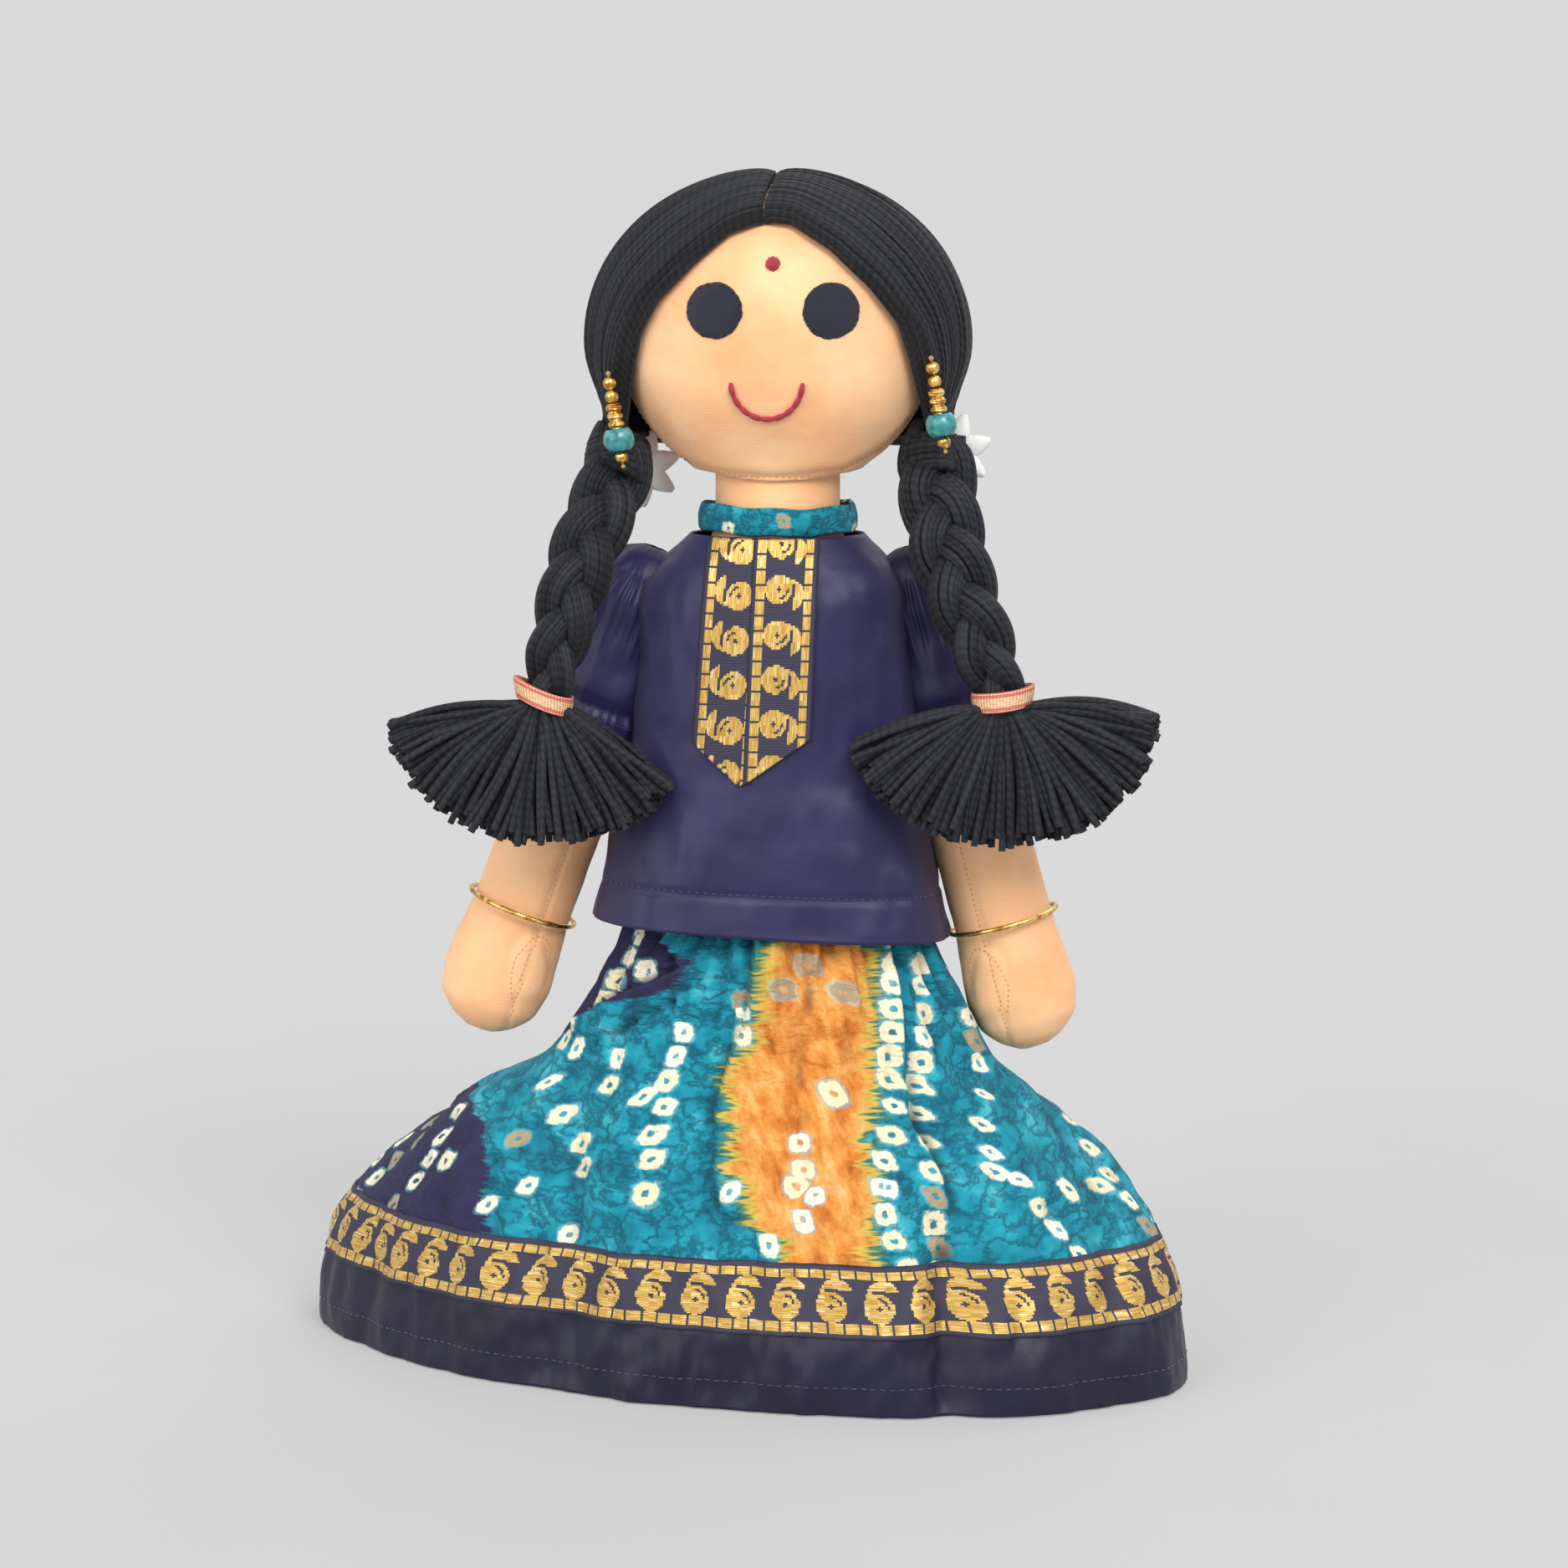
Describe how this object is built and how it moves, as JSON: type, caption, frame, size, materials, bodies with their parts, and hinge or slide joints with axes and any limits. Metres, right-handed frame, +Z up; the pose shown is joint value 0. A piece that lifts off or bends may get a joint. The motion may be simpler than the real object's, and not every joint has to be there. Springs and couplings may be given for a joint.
{
  "type": "rag doll",
  "caption": "Stuffed cotton rag doll in a navy tunic and a wide bandhani skirt, with yarn braids, bead earrings and bangles, standing on its skirt hem.",
  "frame": {"origin": "on the floor under the neck", "axes": "+Z up along the neck; the doll looks along -Y; its left arm is on +X"},
  "size_m": [0.2518, 0.1672, 0.3355],
  "materials": {
    "skin_cotton": "fine woven peach cotton",
    "fibre_fill": "loose white polyester fibre",
    "navy_satin": "smooth satin with a soft sheen",
    "bandhani_cotton": "tie-dyed cotton, teal, navy and orange with cream rings",
    "brocade_ribbon": "woven ribbon with gold thread on navy",
    "elastic": "flat knitted elastic",
    "black_yarn": "matt black cotton yarn",
    "grey_thread": "sewing thread",
    "navy_felt": "cut felt",
    "red_thread": "embroidery thread",
    "white_cotton": "stiffened white cotton",
    "tie_ribbon": "narrow metallic woven ribbon",
    "gold_metal": "bright gold plate",
    "teal_bead": "glossy moulded bead",
    "metallic_thread": "metallic thread"
  },
  "bodies": {
    "torso": {"torso_cover": "skin_cotton", "torso_stuffing": "fibre_fill", "tunic_front": "navy_satin", "tunic_back": "navy_satin", "collar_band": "bandhani_cotton", "placket_left": "brocade_ribbon", "placket_right": "brocade_ribbon", "skirt_waistband": "bandhani_cotton", "waist_elastic": "elastic", "skirt_cloth": "bandhani_cotton", "skirt_ribbon": "brocade_ribbon", "skirt_hem_band": "navy_satin"},
    "head": {"head_front": "skin_cotton", "head_back": "skin_cotton", "head_stuffing": "fibre_fill", "hair_left": "black_yarn", "hair_right": "black_yarn", "parting_stitch": "grey_thread", "eye_left": "navy_felt", "eye_right": "navy_felt", "bindi": "red_thread", "mouth": "red_thread", "flower_left": "white_cotton", "flower_right": "white_cotton"},
    "braid_left": {"braid_left": "black_yarn", "hair_tie_left": "tie_ribbon", "tassel_left": "black_yarn"},
    "earring_left": {"earring_left_thread": "metallic_thread", "earring_left_gold": "gold_metal", "earring_left_tube": "gold_metal", "earring_left_teal": "teal_bead"},
    "arm_left": {"arm_left_cover": "skin_cotton", "arm_left_stuffing": "fibre_fill", "sleeve_left": "navy_satin"},
    "bangle_left": {"bangle_left": "gold_metal"},
    "leg_left": {"leg_left_cover": "skin_cotton", "leg_left_stuffing": "fibre_fill"},
    "braid_right": {"braid_right": "black_yarn", "hair_tie_right": "tie_ribbon", "tassel_right": "black_yarn"},
    "earring_right": {"earring_right_thread": "metallic_thread", "earring_right_gold": "gold_metal", "earring_right_tube": "gold_metal", "earring_right_teal": "teal_bead"},
    "arm_right": {"arm_right_cover": "skin_cotton", "arm_right_stuffing": "fibre_fill", "sleeve_right": "navy_satin"},
    "bangle_right": {"bangle_right": "gold_metal"},
    "leg_right": {"leg_right_cover": "skin_cotton", "leg_right_stuffing": "fibre_fill"}
  },
  "joints": [
    {"name": "head_turn", "type": "hinge", "parent": "torso", "child": "head", "pos_m": [0, 0, 0.288], "axis": [0, 0, 1], "range_deg": [-8, 8]},
    {"name": "braid_left_swing", "type": "hinge", "parent": "head", "child": "braid_left", "pos_m": [0.046, -0.003, 0.25], "axis": [-1, 0, 0], "range_deg": [0, 25]},
    {"name": "earring_left_swing", "type": "hinge", "parent": "head", "child": "earring_left", "pos_m": [0.0433, -0.02734, 0.2835], "axis": [-1, 0, 0], "range_deg": [0, 40]},
    {"name": "arm_left_raise", "type": "hinge", "parent": "torso", "child": "arm_left", "pos_m": [0.03998, 0.004, 0.215], "axis": [0, -1, 0], "range_deg": [0, 60]},
    {"name": "bangle_left_slide", "type": "slide", "parent": "arm_left", "child": "bangle_left", "axis": [-0.2522, 0, 0.9677], "range_m": [0, 0.012]},
    {"name": "leg_left_swing", "type": "hinge", "parent": "torso", "child": "leg_left", "pos_m": [0.017, 0, 0.122], "axis": [-1, 0, 0], "range_deg": [-10, 20]},
    {"name": "braid_right_swing", "type": "hinge", "parent": "head", "child": "braid_right", "pos_m": [-0.046, -0.003, 0.25], "axis": [-1, 0, 0], "range_deg": [0, 25]},
    {"name": "earring_right_swing", "type": "hinge", "parent": "head", "child": "earring_right", "pos_m": [-0.0458, -0.02331, 0.279], "axis": [-1, 0, 0], "range_deg": [0, 40]},
    {"name": "arm_right_raise", "type": "hinge", "parent": "torso", "child": "arm_right", "pos_m": [-0.03998, 0.004, 0.215], "axis": [0, 1, 0], "range_deg": [0, 60]},
    {"name": "bangle_right_slide", "type": "slide", "parent": "arm_right", "child": "bangle_right", "axis": [0.3504, 0, 0.9366], "range_m": [0, 0.012]},
    {"name": "leg_right_swing", "type": "hinge", "parent": "torso", "child": "leg_right", "pos_m": [-0.017, 0, 0.122], "axis": [-1, 0, 0], "range_deg": [-10, 20]}
  ]
}
